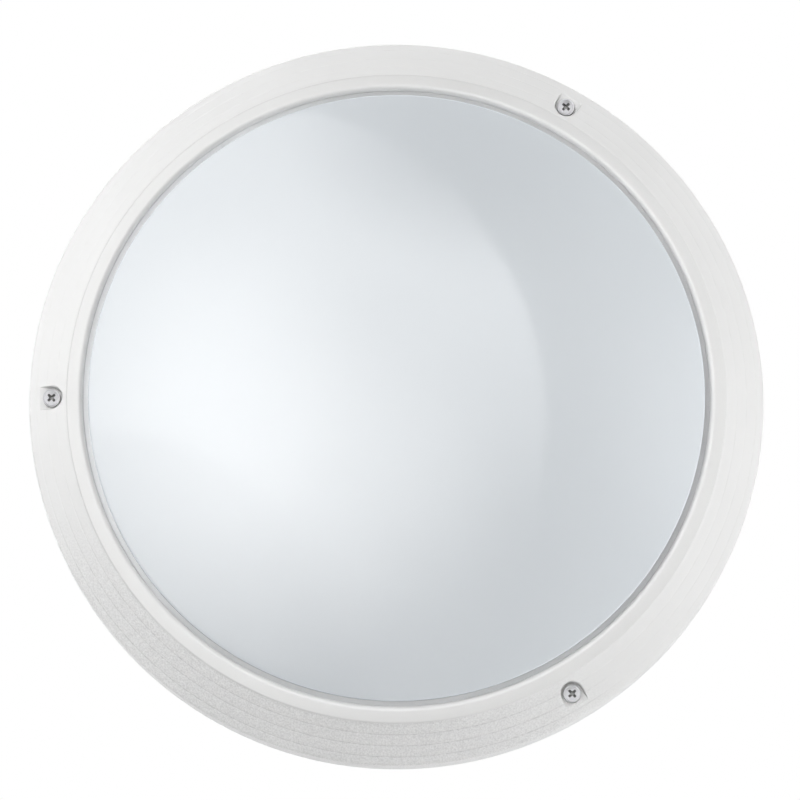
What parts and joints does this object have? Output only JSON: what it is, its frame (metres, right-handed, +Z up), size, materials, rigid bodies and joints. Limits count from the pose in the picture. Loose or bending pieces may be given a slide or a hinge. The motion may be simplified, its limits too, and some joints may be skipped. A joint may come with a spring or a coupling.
{
  "type": "outdoor wall light",
  "caption": "Round outdoor wall light: a shallow opal dome under a sloped white metal bezel held by recessed screws, on a round pan that holds the light source and its gear.",
  "frame": {"origin": "centre of the back face, on the wall", "axes": "+Z up, +Y into the wall, so the light faces -Y and its right-hand side seen from the front is +X"},
  "size_m": [0.33, 0.095, 0.33],
  "materials": {
    "white_coat": "white powder coat with a fine grain",
    "opal": "opal, smooth satin gloss",
    "bright_steel": "bright, plated",
    "grey_silicone": "matte",
    "black_rubber": "matte",
    "tray_coat": "white gloss coat on sheet steel",
    "board_mask": "white mask on an aluminium board",
    "chip_resin": "clear resin over phosphor",
    "white_plastic": "moulded",
    "ivory_plastic": "moulded",
    "case_plastic": "moulded",
    "orange_plastic": "moulded",
    "circuit_board": "board with its components",
    "brass": "bright",
    "brown_insulation": "satin",
    "blue_insulation": "satin",
    "earth_insulation": "green with a yellow stripe, satin",
    "red_insulation": "satin",
    "black_insulation": "satin"
  },
  "bodies": {
    "root": {"base_housing": "white_coat", "housing_gasket": "grey_silicone", "bezel": "white_coat", "bezel_screws": "bright_steel", "screw_retainers": "ivory_plastic", "diffuser": "opal", "diffuser_gasket": "grey_silicone", "diffuser_clips": "bright_steel", "clip_screws": "bright_steel", "gear_tray": "tray_coat", "tray_screws": "bright_steel", "tray_bush": "black_rubber", "led_board": "board_mask", "led_chips": "chip_resin", "led_connector": "white_plastic", "led_board_screws": "bright_steel", "driver_base": "case_plastic", "driver_board": "circuit_board", "driver_terminals": "orange_plastic", "driver_cover": "case_plastic", "driver_screws": "bright_steel", "terminal_block": "ivory_plastic", "terminal_sleeves": "brass", "terminal_screws": "bright_steel", "terminal_block_screws": "bright_steel", "earth_screw": "bright_steel", "earth_washer": "bright_steel", "earth_lug": "brass", "rear_grommet": "black_rubber", "side_plugs": "white_plastic", "side_plug_seals": "grey_silicone", "fixing_seals": "grey_silicone", "lead_live": "brown_insulation", "lead_neutral": "blue_insulation", "lead_earth": "earth_insulation", "lead_led_positive": "red_insulation", "lead_led_negative": "black_insulation"}
  },
  "joints": []
}
